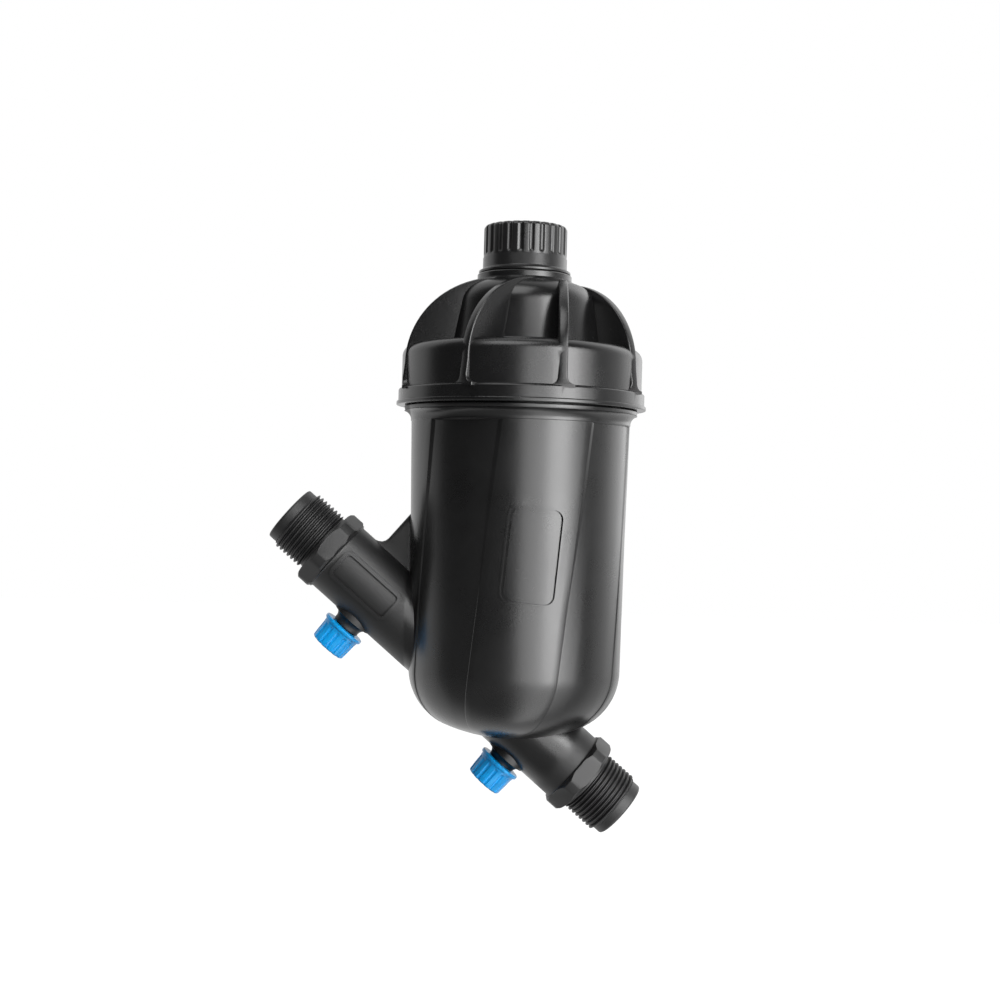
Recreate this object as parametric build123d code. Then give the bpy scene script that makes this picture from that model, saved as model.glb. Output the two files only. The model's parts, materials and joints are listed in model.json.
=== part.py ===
from build123d import *
from math import asin, cos, degrees, radians, sin, sqrt
import os

# Inline screen filter for an irrigation or drinking water line, in millimetres.
# A round bowl stands over a slanted pipe run with a threaded stub at each end. A finned
# cover screws on the bowl, and a flush cap and two pressure port caps screw on nipples.
# Everything is drawn about the point where the pipe axis crosses the bowl axis, with the
# bowl axis upright, and is moved to the inlet thread when it is written out.

# Pipe run
pipe_fall = 40.4            # slope of the pipe axis below level, in degrees
inlet_reach = 57.0          # crossing point to the inlet end face, along the pipe
outlet_reach = 118.8        # crossing point to the outlet end face
inlet_pipe_r = 14.6
outlet_pipe_r = 14.9
pipe_bore_r = 9.5
inlet_pipe_start = 5.0      # how far the inlet stub runs past the crossing, inside the floor
outlet_pipe_start = 38.0    # where the outlet stub starts, inside the bowl

# Pipe thread, three-quarter inch parallel, drawn at its major diameter
thread_r = 13.22
thread_l = 13.6             # seven and a half turns
thread_relief_r = 12.3
thread_relief_l = 1.1
lead_r = 11.9               # plain pilot outside the thread
lead_l = 3.8
lead_chamfer = 0.8

# Spanner collars
collar_flats = 30.2         # across flats
collar_w = 7.1
collar_corner_r = 16.4      # the corners are turned down to this radius
collar_bevel = 1.2
collar_turn = 16.0          # one corner sits this many degrees below level

# Bowl, heights above the crossing point
wall = 3.0
bowl_r = 42.4               # outside, at the top
bowl_draft = 1.0            # how much narrower it is where the rounded bottom starts
bowl_top_z = 115.0
dome_z = 18.0
dome_corner_r = 24.0
bowl_depth = 9.3            # bottom of the bowl below the crossing point
rim_low_step = 0.5          # flare under the cover, at its foot and at its top
rim_step = 3.6
rim_h = 5.3
neck_step = 1.5             # how far the neck thread's crest stands out from the bowl
neck_h = 18.6
seat_cut_w = 3.7            # step in the neck's top edge for the cover seal
seat_cut_h = 3.4

# Raised panels of the bowl. They twist round it on the way down and fade into its side.
panel_count = 4
panel_proud = 0.7           # at the top of the bowl
panel_fade_z = 36.0         # where they have sunk into the side
panel_twist = 13.4          # turn from the top down to the fade, in degrees
panel_side = -9.3           # one edge at the top, in degrees from the front
panel_spread = 47.0         # width of each panel round the bowl, in degrees

# Seat for the foot of the screen
foot_seat_r = 22.3          # bore of the seat
foot_seat_wall = 2.4
foot_seat_z = 18.0          # top of the seat

# Gusset between the bowl and the outlet pipe
gusset_back = 36.0          # its outer edge, back from the outlet end face
gusset_t = 4.0
gusset_fillet = 4.0

# Framed plates
pipe_plate_back = 42.1       # its middle, back from the outlet end face
pipe_plate_l = 28.8
pipe_plate_w = 13.2
pipe_plate_corner = 3.0
pipe_plate_rim = 1.5
pipe_plate_proud = 0.5
bowl_plate_z = 64.0
bowl_plate_x = 5.0
bowl_plate_w = 21.5
bowl_plate_h = 36.5
bowl_plate_corner = 4.0
bowl_plate_tilt = -5.0      # its top leans to the right, in degrees
bowl_plate_proud = 0.35

# Pressure ports, with their heights measured from the pipe axis
outlet_port_back = 46.6     # port axis, back from the outlet end face
inlet_port_back = 47.7      # port axis, back from the inlet end face
port_boss_r = 8.3
port_neck_r = 5.7
port_boss_h = 2.6           # height of the flared foot above the pipe wall
outlet_port_rise = 19.0     # pipe axis to the rim of the cap
inlet_port_rise = 17.4
port_thread_r = 4.86
port_thread_l = 7.0
port_bore_r = 2.6

# Port caps
port_cap_h = 10.4
port_cap_rim_r = 8.8
port_cap_end_r = 7.4
port_cap_lip = 1.4
port_cap_top = 1.7
port_cap_edge = 0.8
port_cap_flutes = 14
port_flute_r = 0.75
port_gasket_t = 1.2

# Cover, heights above its own foot
cover_gap = 0.3             # cover foot above the bowl rim
skirt_wall = 3.1            # outside the neck thread
flange_band_step = 1.2      # how far the flange's band stands out from the skirt
flange_lip_step = 0.7       # how far its lip stands out from the band
flange_lip_h = 1.6
flange_h = 6.5
shoulder_z = 23.8
shoulder_fillet = 4.5
cover_ceiling_t = 3.0
dome_foot_r = 32.0
dome_top_r = 29.3
dome_round_r = 10.0
dome_wall = 2.8
cover_neck_z = 50.2         # top of the fins, foot of the neck ring
neck_ring_r = 18.6
neck_ring_h = 2.4

# Cover fins
fin_count = 8
fin_offset = 14.5           # each fin's plane passes the axis at this distance
fin_t = 3.3
fin_arc_r = 34.6            # round of the fins' outer edge
fin_foot_step = 1.4         # how far the fins' feet stand out from the skirt

# Flush nipple and flush cap
flush_thread_r = 13.1
flush_thread_l = 14.2
flush_bore_r = 9.6
flush_cap_gap = 0.3
flush_cap_h = 19.0
flush_cap_r = 16.4
flush_cap_skirt_r = 16.6
flush_cap_flange_r = 18.1
flush_cap_flange_h = 1.8
flush_cap_top = 3.0
flush_cap_edge = 1.6
flush_flutes = 24
flush_flute_r = 0.95
flush_flute_z = 7.1         # lower end of the flutes above the cap's foot
flush_gasket_t = 1.5

# Screen
cage_r = 26.4
cage_wall = 2.0
cage_hoops = 5
cage_hoop_w = 4.0
cage_ribs = 8
cage_rib_w = 3.2
mesh_t = 0.5
mesh_fit = 0.1              # gap between the mesh and the cage
screen_ring_t = 3.6         # flange of each end ring
top_plug_h = 9.0            # the top ring's spigot, up inside the cover
foot_plug_h = 9.0
plug_wall = 3.6
seal_section_r = 1.3
cover_seal_section_r = 1.6
seal_squeeze = 0.08         # gap left round each seal

# Running gaps
thread_gap = 0.3            # between a male and a female thread
rest_gap = 0.3              # between faces of pieces that come apart
overrun = 1.0               # how far a cutter passes the face that it opens

# Worked out from the sizes above
cover_z = bowl_top_z + rim_h + cover_gap
neck_top_z = bowl_top_z + rim_h + neck_h
ceiling_z = cover_z + shoulder_z - cover_ceiling_t
neck_ring_z = cover_z + cover_neck_z
nipple_z = neck_ring_z + neck_ring_h
flush_cap_z = nipple_z + flush_cap_gap
thread_set_l = lead_l + thread_l + thread_relief_l
bowl_foot_r = bowl_r - bowl_draft
rim_low_r = bowl_r + rim_low_step
rim_r = bowl_r + rim_step
neck_r = bowl_r + neck_step
neck_bore_r = bowl_r - wall
dome_bore_r = dome_top_r - dome_wall
top_plug_r = dome_bore_r - rest_gap
foot_plug_r = foot_seat_r - rest_gap
screen_foot_z = foot_seat_z + rest_gap
screen_head_z = ceiling_z - rest_gap
cage_foot_z = screen_foot_z + screen_ring_t
cage_head_z = screen_head_z - screen_ring_t
gusset_station = outlet_reach - gusset_back
pipe_plate_station = outlet_reach - pipe_plate_back
outlet_port_station = outlet_reach - outlet_port_back
inlet_port_station = inlet_reach - inlet_port_back
neck_bore_gap_r = neck_r + thread_gap
skirt_r = neck_bore_gap_r + skirt_wall
flange_band_r = skirt_r + flange_band_step
flange_r = flange_band_r + flange_lip_step
fin_foot_r = skirt_r + fin_foot_step
pipe_dir = Vector(cos(radians(pipe_fall)), 0, -sin(radians(pipe_fall)))
port_dir = Vector(-sin(radians(pipe_fall)), 0, -cos(radians(pipe_fall)))
camera_side = Vector(0, -1, 0)


# Frames along the pipe. Z runs outwards along each stub, and X towards the plates' side.
inlet_frame = Plane(origin=(0, 0, 0), x_dir=camera_side, z_dir=pipe_dir)
outlet_frame = Plane(origin=(0, 0, 0), x_dir=camera_side, z_dir=-pipe_dir)


def disc(radius, low, high):
    """Upright cylinder between two heights."""
    foot = (Align.CENTER, Align.CENTER, Align.MIN)
    return Pos(0, 0, low) * Cylinder(radius, high - low, align=foot)


def ring(outer, inner, low, high):
    """Upright tube between two heights."""
    return disc(outer, low, high) - disc(inner, low - overrun, high + overrun)


def turned(*points):
    """Solid turned about the upright axis from its half section."""
    section = make_face(Polyline(*points, close=True))
    return revolve(Plane.XZ * section, Axis.Z)


def around(count, piece, start=0.0):
    """Copies of a piece, evenly spaced about the upright axis."""
    step = 360 / count
    return [Rot(0, 0, start + step * turn) * piece for turn in range(count)]


def bowl_solid(grow, top):
    """The bowl's outer form with its rounded bottom, grown by an even skin."""
    corner_x = bowl_foot_r - dome_corner_r
    drop = dome_z + bowl_depth
    floor_r = (corner_x ** 2 + drop ** 2 - dome_corner_r ** 2) / (2 * (drop - dome_corner_r))
    floor_turn = degrees(asin(corner_x / (floor_r - dome_corner_r)))
    draft = (bowl_r - bowl_foot_r) / (bowl_top_z - dome_z)
    top_r = bowl_foot_r + draft * (top - dome_z) + grow
    floor = CenterArc((0, floor_r - bowl_depth), floor_r + grow, -90, floor_turn)
    corner = CenterArc((corner_x, dome_z), dome_corner_r + grow, floor_turn - 90, 90 - floor_turn)
    side = Polyline(corner @ 1, (top_r, top), (0, top), floor @ 0)
    return revolve(Plane.XZ * make_face([floor, corner, side]), Axis.Z)


def panel_skin(grow):
    """The slightly wider bowl that the raised panels are sliced from, grown by an even skin."""
    fade_r = bowl_foot_r + (bowl_r - bowl_foot_r) * (panel_fade_z - dome_z) / (bowl_top_z - dome_z)
    return turned((0, panel_fade_z), (fade_r + grow, panel_fade_z),
                  (bowl_r + panel_proud + grow, bowl_top_z), (0, bowl_top_z))


def bowl_panel():
    """One raised panel, a slice between two twisted sides."""
    height = bowl_top_z - panel_fade_z
    reach = rim_r * 2
    half = radians(panel_spread / 2)
    slice_base = make_face(Polyline((0, 0), (reach * cos(half), -reach * sin(half)),
                                    (reach * cos(half), reach * sin(half)), close=True))
    wedge = Solid.extrude_linear_with_rotation(slice_base.face(), (0, 0, 0), (0, 0, height), panel_twist)
    low_turn = panel_side + panel_spread / 2 - 90 - panel_twist
    return Pos(0, 0, panel_fade_z) * Rot(0, 0, low_turn) * wedge & panel_skin(0)


def spanner_collar(low, turn):
    """Hexagonal collar round a stub, with bevelled corners."""
    high = low + collar_w
    inside = collar_corner_r - collar_bevel
    hexagon = RegularPolygon(collar_flats / 2, 6, major_radius=False, rotation=turn)
    bar = Pos(0, 0, low) * extrude(hexagon, collar_w)
    envelope = turned((0, low), (inside, low), (collar_corner_r, low + collar_bevel),
                      (collar_corner_r, high - collar_bevel), (inside, high), (0, high))
    return bar & envelope


def stub(reach, pipe_r, start, turn):
    """One pipe stub along Z: pipe, spanner collar, thread and pilot."""
    thread_start = reach - lead_l
    collar_start = reach - thread_set_l - collar_w
    pipe = disc(pipe_r, start, collar_start + overrun)
    collar = spanner_collar(collar_start, turn)
    end = turned((0, collar_start), (thread_relief_r, collar_start),
                 (thread_relief_r, reach - thread_set_l + thread_relief_l),
                 (thread_r, reach - thread_set_l + thread_relief_l),
                 (thread_r, thread_start), (lead_r, thread_start),
                 (lead_r, reach - lead_chamfer), (lead_r - lead_chamfer, reach), (0, reach))
    return pipe + collar + end


def port_frame(station):
    """Frame of a pressure port, with Z out along the port's axis."""
    return Plane(origin=pipe_dir * station, x_dir=pipe_dir, z_dir=port_dir)


def port_nipple(pipe_r, rise):
    """Flared boss and threaded nipple, standing on the pipe."""
    flare_z = pipe_r + port_boss_h
    return turned((0, 0), (port_boss_r, 0), (port_boss_r, pipe_r), (port_neck_r, flare_z),
                  (port_neck_r, rise - rest_gap), (port_thread_r, rise - rest_gap),
                  (port_thread_r, rise + port_thread_l), (0, rise + port_thread_l))


def gusset():
    """Web in the plane of both axes, filling the corner above the outlet pipe."""
    up = -port_dir
    along = -pipe_dir
    foot = along * gusset_station + up * outlet_pipe_r
    inside_x = -(bowl_foot_r - wall / 2)
    edge_l = (inside_x - foot.X) / up.X
    head = foot + up * edge_l
    root = along * outlet_pipe_start
    fillet_foot = foot + along * gusset_fillet
    fillet_head = foot + up * gusset_fillet
    fillet_mid = foot + (along + up) * gusset_fillet * (1 - sqrt(0.5))
    edges = [Line((fillet_foot.X, fillet_foot.Z), (root.X, root.Z)),
             Line((root.X, root.Z), (inside_x, head.Z)),
             Line((inside_x, head.Z), (fillet_head.X, fillet_head.Z)),
             ThreePointArc((fillet_head.X, fillet_head.Z), (fillet_mid.X, fillet_mid.Z),
                           (fillet_foot.X, fillet_foot.Z))]
    return extrude(Plane.XZ * make_face(edges), gusset_t / 2, both=True)


def pipe_plate():
    """Raised rounded frame on the side of the outlet pipe."""
    side = Plane(origin=-pipe_dir * pipe_plate_station, x_dir=pipe_dir, z_dir=camera_side)
    inner_l = pipe_plate_l - 2 * pipe_plate_rim
    inner_w = pipe_plate_w - 2 * pipe_plate_rim
    outer = RectangleRounded(pipe_plate_l, pipe_plate_w, pipe_plate_corner)
    inner = RectangleRounded(inner_l, inner_w, pipe_plate_corner - pipe_plate_rim)
    frame = extrude(outer - inner, outlet_pipe_r * 2)
    skin = outlet_frame * disc(outlet_pipe_r + pipe_plate_proud, 0, outlet_reach)
    return (side * frame) & skin


def bowl_plate():
    """Slightly raised rounded plate on the front panel of the bowl."""
    front = Plane(origin=(bowl_plate_x, 0, bowl_plate_z), x_dir=(1, 0, 0), z_dir=camera_side)
    outline = RectangleRounded(bowl_plate_w, bowl_plate_h, bowl_plate_corner)
    pad = extrude(Rot(0, 0, bowl_plate_tilt) * outline, bowl_r * 2)
    return (front * pad) & panel_skin(bowl_plate_proud)


def housing():
    """The moulded body: bowl, neck, pipe stubs, ports, gusset and the screen's seat."""
    rim_z = bowl_top_z + rim_h
    body = bowl_solid(0, bowl_top_z)
    body += turned((0, bowl_top_z), (rim_low_r, bowl_top_z), (rim_r, rim_z), (0, rim_z))
    body += disc(neck_r, rim_z, neck_top_z)
    body += inlet_frame * stub(inlet_reach, inlet_pipe_r, -inlet_pipe_start, collar_turn)
    body += outlet_frame * stub(outlet_reach, outlet_pipe_r, outlet_pipe_start, -collar_turn)
    body += gusset()
    body += port_frame(inlet_port_station) * port_nipple(inlet_pipe_r, inlet_port_rise)
    body += port_frame(-outlet_port_station) * port_nipple(outlet_pipe_r, outlet_port_rise)
    body += pipe_plate()
    for panel in around(panel_count, bowl_panel()):
        body += panel
    body += bowl_plate()
    body -= bowl_solid(-wall, bowl_top_z)
    body -= disc(neck_bore_r, bowl_top_z - overrun, neck_top_z + overrun)
    body -= disc(neck_bore_r + seat_cut_w, neck_top_z - seat_cut_h, neck_top_z + overrun)
    seat = ring(foot_seat_r + foot_seat_wall, foot_seat_r, -bowl_depth, foot_seat_z)
    body += seat & bowl_solid(-wall / 2, bowl_top_z)
    body -= inlet_frame * disc(pipe_bore_r, 0, inlet_reach + overrun)
    body -= outlet_frame * disc(pipe_bore_r, outlet_pipe_start, outlet_reach + overrun)
    inlet_port_end = inlet_port_rise + port_thread_l + overrun
    outlet_port_end = outlet_port_rise + port_thread_l + overrun
    body -= port_frame(inlet_port_station) * disc(port_bore_r, 0, inlet_port_end)
    body -= port_frame(-outlet_port_station) * disc(port_bore_r, 0, outlet_port_end)
    return body


def cover_core():
    """The cover without its fins: flange, skirt, shoulder, dome, neck ring and nipple."""
    foot = cover_z
    shoulder = cover_z + shoulder_z
    skirt = turned((0, foot), (flange_r, foot), (flange_r, foot + flange_lip_h),
                   (flange_band_r, foot + flange_lip_h), (flange_band_r, foot + flange_h),
                   (skirt_r, foot + flange_h), (skirt_r, shoulder), (0, shoulder))
    skirt = fillet(skirt.edges().filter_by(GeomType.CIRCLE).group_by(Axis.Z)[-1], shoulder_fillet)
    dome = turned((0, shoulder), (dome_foot_r, shoulder), (dome_top_r, neck_ring_z), (0, neck_ring_z))
    dome = fillet(dome.edges().filter_by(GeomType.CIRCLE).group_by(Axis.Z)[-1], dome_round_r)
    nipple_top = nipple_z + flush_thread_l
    neck = disc(neck_ring_r, neck_ring_z - dome_wall, nipple_z)
    return skirt + dome + neck + disc(flush_thread_r, nipple_z, nipple_top)


def cover_fins():
    """Fins that leave the neck at a tangent and run out to the flange."""
    flange_top = cover_z + flange_h
    arc_z = neck_ring_z - fin_arc_r
    arc_x = fin_foot_r - overrun - fin_arc_r
    outline = [Line((0, flange_top - overrun), (fin_foot_r, flange_top - overrun)),
               Line((fin_foot_r, flange_top - overrun), (arc_x + fin_arc_r, arc_z)),
               CenterArc((arc_x, arc_z), fin_arc_r, 0, 90),
               Line((arc_x, arc_z + fin_arc_r), (0, arc_z + fin_arc_r)),
               Line((0, arc_z + fin_arc_r), (0, flange_top - overrun))]
    envelope = revolve(Plane.XZ * make_face(outline), Axis.Z)
    height = neck_ring_z - flange_top + overrun
    corner = (Align.CENTER, Align.MAX, Align.MIN)
    plate = Pos(fin_offset, 0, flange_top - overrun) * Box(fin_t, flange_r, height, align=corner)
    return [fin & envelope for fin in around(fin_count, plate)]


def cover():
    """The screw cover with its tangent fins and the flush nipple."""
    body = cover_core()
    for fin in cover_fins():
        body += fin
    body -= disc(neck_bore_gap_r, cover_z - overrun, ceiling_z)
    round_z = neck_ring_z - dome_round_r
    body -= turned((0, ceiling_z - overrun), (dome_bore_r, ceiling_z - overrun),
                   (dome_bore_r, round_z), (flush_bore_r, neck_ring_z - dome_wall), (0, neck_ring_z))
    body -= disc(flush_bore_r, round_z, nipple_z + flush_thread_l + overrun)
    return body


def flutes(count, radius, flute_r, low, high):
    """Cutters for upright flutes with rounded lower ends."""
    groove = disc(flute_r, low, high) + Pos(0, 0, low) * Sphere(flute_r)
    return around(count, Pos(radius + flute_r / 2, 0, 0) * groove)


def flush_cap():
    """Fluted cap on the flush nipple."""
    low = flush_cap_z
    high = flush_cap_z + flush_cap_h
    flange_top = low + flush_cap_flange_h
    flute_low = low + flush_flute_z
    body = turned((0, low), (flush_cap_flange_r, low), (flush_cap_flange_r, low + flush_cap_flange_h / 2),
                  (flush_cap_skirt_r, flange_top), (flush_cap_skirt_r, flute_low - flush_flute_r),
                  (flush_cap_r, flute_low), (flush_cap_r, high), (0, high))
    body = fillet(body.edges().filter_by(GeomType.CIRCLE).group_by(Axis.Z)[-1], flush_cap_edge)
    body -= flutes(flush_flutes, flush_cap_r, flush_flute_r, flute_low + flush_flute_r, high + overrun)
    return body - disc(flush_thread_r + thread_gap, low - overrun, high - flush_cap_top)


def flush_gasket():
    """Flat washer in the top of the flush cap."""
    high = flush_cap_z + flush_cap_h - flush_cap_top - seal_squeeze
    return disc(flush_thread_r, high - flush_gasket_t, high)


def port_cap():
    """Small fluted cap, drawn with its rim at height nought."""
    lip_r = port_cap_rim_r
    body = turned((0, 0), (lip_r, 0), (lip_r, port_cap_lip), (lip_r - port_flute_r, port_cap_lip),
                  (port_cap_end_r, port_cap_h), (0, port_cap_h))
    body = fillet(body.edges().filter_by(GeomType.CIRCLE).group_by(Axis.Z)[-1], port_cap_edge)
    body -= flutes(port_cap_flutes, port_cap_end_r, port_flute_r, port_cap_lip + 2 * port_flute_r,
                   port_cap_h + overrun)
    return body - disc(port_thread_r + thread_gap, -overrun, port_cap_h - port_cap_top)


def port_gasket():
    """Flat washer in the end of a port cap, drawn as the cap is."""
    high = port_cap_h - port_cap_top - seal_squeeze
    return disc(port_thread_r, high - port_gasket_t, high)


def cover_o_ring():
    """Ring seal on the step of the neck, under the cover."""
    ring_r = neck_bore_r + seat_cut_w - cover_seal_section_r - seal_squeeze
    low = neck_top_z - seat_cut_h + rest_gap
    return Pos(0, 0, low + cover_seal_section_r) * Torus(ring_r, cover_seal_section_r)


def screen_cage():
    """Moulded cage: hoops joined by ribs, open between them."""
    inner_r = cage_r - cage_wall
    cage = ring(cage_r, inner_r, cage_foot_z, cage_head_z)
    pitch = (cage_head_z - cage_foot_z - cage_hoop_w) / (cage_hoops - 1)
    window_h = pitch - cage_hoop_w
    bay = ring(cage_r + overrun, inner_r - overrun, 0, window_h)
    for rib in around(cage_ribs, Box(cage_r * 3, cage_rib_w, window_h * 3)):
        bay -= rib
    for row in range(cage_hoops - 1):
        cage -= Pos(0, 0, cage_foot_z + cage_hoop_w + pitch * row) * bay
    return cage


def screen_mesh():
    """Woven screen, a thin tube inside the cage."""
    outer = cage_r - cage_wall - mesh_fit
    return ring(outer, outer - mesh_t, cage_foot_z + mesh_fit, cage_head_z - mesh_fit)


def end_seal_r(plug_r):
    """Middle radius of the ring seal that closes the gap round a spigot."""
    return plug_r + rest_gap - seal_squeeze - seal_section_r


def end_ring(flange_low, plug_low, plug_high, plug_r, groove_z):
    """Flange and spigot of one end of the screen, with a seal groove."""
    groove_r = end_seal_r(plug_r) - seal_section_r - seal_squeeze
    body = disc(cage_r, flange_low, flange_low + screen_ring_t) + disc(plug_r, plug_low, plug_high)
    body -= disc(plug_r - plug_wall, plug_low - overrun, plug_high + overrun)
    body -= disc(plug_r - plug_wall, flange_low - overrun, flange_low + screen_ring_t + overrun)
    half = seal_section_r + seal_squeeze
    return body - ring(plug_r + overrun, groove_r, groove_z - half, groove_z + half)


def end_seal(plug_r, groove_z):
    """Ring seal in the groove of an end ring."""
    return Pos(0, 0, groove_z) * Torus(end_seal_r(plug_r), seal_section_r)


top_groove_z = screen_head_z + top_plug_h / 2
foot_groove_z = screen_foot_z - foot_plug_h / 2
top_ring = end_ring(screen_head_z - screen_ring_t + mesh_fit, screen_head_z - overrun,
                    screen_head_z + top_plug_h, top_plug_r, top_groove_z)
foot_ring = end_ring(screen_foot_z - mesh_fit, screen_foot_z - foot_plug_h, screen_foot_z + overrun,
                     foot_plug_r, foot_groove_z)
outlet_port = port_frame(-outlet_port_station).offset(outlet_port_rise)
inlet_port = port_frame(inlet_port_station).offset(inlet_port_rise)

pieces = {
    "housing": housing(),
    "cover": cover(),
    "cover_o_ring": cover_o_ring(),
    "flush_cap": flush_cap(),
    "flush_gasket": flush_gasket(),
    "inlet_port_cap": inlet_port * port_cap(),
    "inlet_port_gasket": inlet_port * port_gasket(),
    "outlet_port_cap": outlet_port * port_cap(),
    "outlet_port_gasket": outlet_port * port_gasket(),
    "screen_cage": screen_cage(),
    "screen_mesh": screen_mesh(),
    "screen_top_ring": top_ring,
    "screen_bottom_ring": foot_ring,
    "screen_top_seal": end_seal(top_plug_r, top_groove_z),
    "screen_bottom_seal": end_seal(foot_plug_r, foot_groove_z),
}

# The part's origin is on the pipe axis, at the outer end of the inlet thread
origin = pipe_dir * (inlet_reach - lead_l)
os.makedirs("parts", exist_ok=True)
for name, piece in pieces.items():
    export_step(Pos(-origin.X, -origin.Y, -origin.Z) * piece, f"parts/{name}.step")
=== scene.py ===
import json
import bmesh
import bpy
from math import asin, cos, degrees, pi, radians, sin, sqrt, tau
from mathutils import Matrix, Vector


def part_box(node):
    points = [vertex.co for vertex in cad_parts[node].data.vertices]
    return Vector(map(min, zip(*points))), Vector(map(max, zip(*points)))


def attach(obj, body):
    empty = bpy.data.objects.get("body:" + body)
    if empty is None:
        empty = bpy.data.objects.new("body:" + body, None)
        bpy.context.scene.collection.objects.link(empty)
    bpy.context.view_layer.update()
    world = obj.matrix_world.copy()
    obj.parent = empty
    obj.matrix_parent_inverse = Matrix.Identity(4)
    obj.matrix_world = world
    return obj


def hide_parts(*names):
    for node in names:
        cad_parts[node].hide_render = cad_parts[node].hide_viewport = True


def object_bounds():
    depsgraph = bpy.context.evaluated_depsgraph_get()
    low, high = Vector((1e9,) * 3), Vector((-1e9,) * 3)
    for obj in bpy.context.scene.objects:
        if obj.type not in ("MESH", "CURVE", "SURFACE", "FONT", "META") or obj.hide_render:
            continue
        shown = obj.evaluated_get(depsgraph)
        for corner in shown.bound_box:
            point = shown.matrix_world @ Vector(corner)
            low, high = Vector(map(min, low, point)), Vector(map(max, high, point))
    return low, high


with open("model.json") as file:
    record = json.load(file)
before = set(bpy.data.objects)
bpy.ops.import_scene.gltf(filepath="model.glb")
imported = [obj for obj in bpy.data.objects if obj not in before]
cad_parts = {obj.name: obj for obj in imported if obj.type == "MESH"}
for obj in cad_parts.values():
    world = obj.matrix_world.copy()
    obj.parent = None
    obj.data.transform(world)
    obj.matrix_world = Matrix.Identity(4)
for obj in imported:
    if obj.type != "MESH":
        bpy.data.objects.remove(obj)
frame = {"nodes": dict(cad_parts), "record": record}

# The filter's own axes, read from the frame. The bowl stands upright over a slanted pipe,
# and every piece is drawn in millimetres about the point where the two axes cross.
cad_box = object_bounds()
mm = 0.001
mounts = {mount["name"]: mount for mount in frame["record"]["mounts"]}
pipe_dir = Vector(mounts["inlet_thread"]["axis"]).normalized()
bowl_x = (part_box("cover_o_ring")[0][0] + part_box("cover_o_ring")[1][0]) / 2
crossing = Vector((bowl_x, 0, bowl_x * pipe_dir.z / pipe_dir.x))
to_frame = Matrix.Translation(crossing) @ Matrix.Scale(mm, 4)

# Moulded black plastic, filled with short glass fibre: a satin skin with a fine pebble
# left by the mould, and faint cloudy patches where the fill shows through.
pebble = 0.02 * mm


class Value:
    """A socket in a node tree, so that node maths reads as plain maths."""

    def __init__(self, owner, socket):
        self.owner, self.socket = owner, socket

    def maths(self, operation, *others):
        return self.owner.maths(operation, self, *others)

    def __add__(self, other):
        return self.maths("ADD", other)

    def __radd__(self, other):
        return self.owner.maths("ADD", other, self)

    def __sub__(self, other):
        return self.maths("SUBTRACT", other)

    def __rsub__(self, other):
        return self.owner.maths("SUBTRACT", other, self)

    def __mul__(self, other):
        return self.maths("MULTIPLY", other)

    def __rmul__(self, other):
        return self.owner.maths("MULTIPLY", other, self)

    def __truediv__(self, other):
        return self.maths("DIVIDE", other)


class Tree:
    """A node tree while it is put together."""

    def node(self, kind, inputs=None, output=0, **settings):
        """A new node with its settings and inputs, as the value of one of its outputs."""
        made = self.tree.nodes.new(kind)
        for setting, value in settings.items():
            setattr(made, setting, value)
        for name, value in (inputs or {}).items():
            if isinstance(value, Value):
                self.tree.links.new(value.socket, made.inputs[name])
            else:
                made.inputs[name].default_value = value
        return Value(self, made.outputs[output])

    def maths(self, operation, *values):
        """A Math node on values and numbers."""
        return self.node("ShaderNodeMath", dict(enumerate(values)), operation=operation)

    def parts(self, vector, letters):
        """The parts of a vector, by their letters."""
        return [self.node("ShaderNodeSeparateXYZ", {"Vector": vector}, output=letter)
                for letter in letters]

    def mix(self, factor, one, other):
        """Colour between two colours."""
        inputs = {"Factor": factor, 6: one, 7: other}
        return self.node("ShaderNodeMix", inputs, output=2, data_type="RGBA")

    def between(self, value, low, high, **settings):
        """A value stretched so that low becomes 0 and high becomes 1, and kept within them."""
        inputs = {"Value": value, "From Min": low, "From Max": high}
        return self.node("ShaderNodeMapRange", inputs, **settings)

    def soft_step(self, value, low, high):
        """A value that rises softly from 0 to 1 between two others."""
        return self.between(value, low, high, interpolation_type="SMOOTHSTEP")


class Paint(Tree):
    """A material, with the fixed values of its surface."""

    def __init__(self, name, **settings):
        self.material = bpy.data.materials.new(name)
        self.material.use_nodes = True
        self.tree = self.material.node_tree
        self.surface = self.tree.nodes["Principled BSDF"]
        for socket, value in settings.items():
            self.surface.inputs[socket.replace("_", " ")].default_value = value

    def place(self):
        """Where a point is on the object."""
        return self.node("ShaderNodeTexCoord", output="Object")

    def grain(self, scale, detail=2.0, roughness=0.5):
        """Even noise of a given number of waves to the metre."""
        inputs = {"Vector": self.place(), "Scale": scale, "Detail": detail, "Roughness": roughness}
        return self.node("ShaderNodeTexNoise", inputs)

    def feed(self, name, value):
        self.tree.links.new(value.socket, self.surface.inputs[name])

    def bump(self, height, depth):
        """Relief of a given depth in metres."""
        self.feed("Normal", self.node("ShaderNodeBump", {"Height": height, "Distance": depth}))


def black_plastic(name, shade, roughness, matte_part=None):
    """Black plastic of a given shade. matte_part(plastic) may mask where it is left rougher."""
    plastic = Paint(name, IOR=1.5)
    cloud = plastic.grain(55.0, 4.0, 0.62)
    dark = (shade * 0.75, shade * 0.75, shade * 0.77, 1)
    light = (shade * 1.3, shade * 1.3, shade * 1.34, 1)
    plastic.feed("Base Color", plastic.mix(plastic.between(cloud, 0.3, 0.7), dark, light))
    fine = plastic.grain(2400.0, 2.0, 0.6)
    finish = roughness - 0.05 + 0.1 * cloud + 0.03 * fine
    if matte_part:
        finish = finish + 0.22 * matte_part(plastic)
    plastic.feed("Roughness", finish)
    plastic.bump(fine + 0.5 * plastic.grain(700.0, 1.0), pebble)
    return plastic.material


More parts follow.
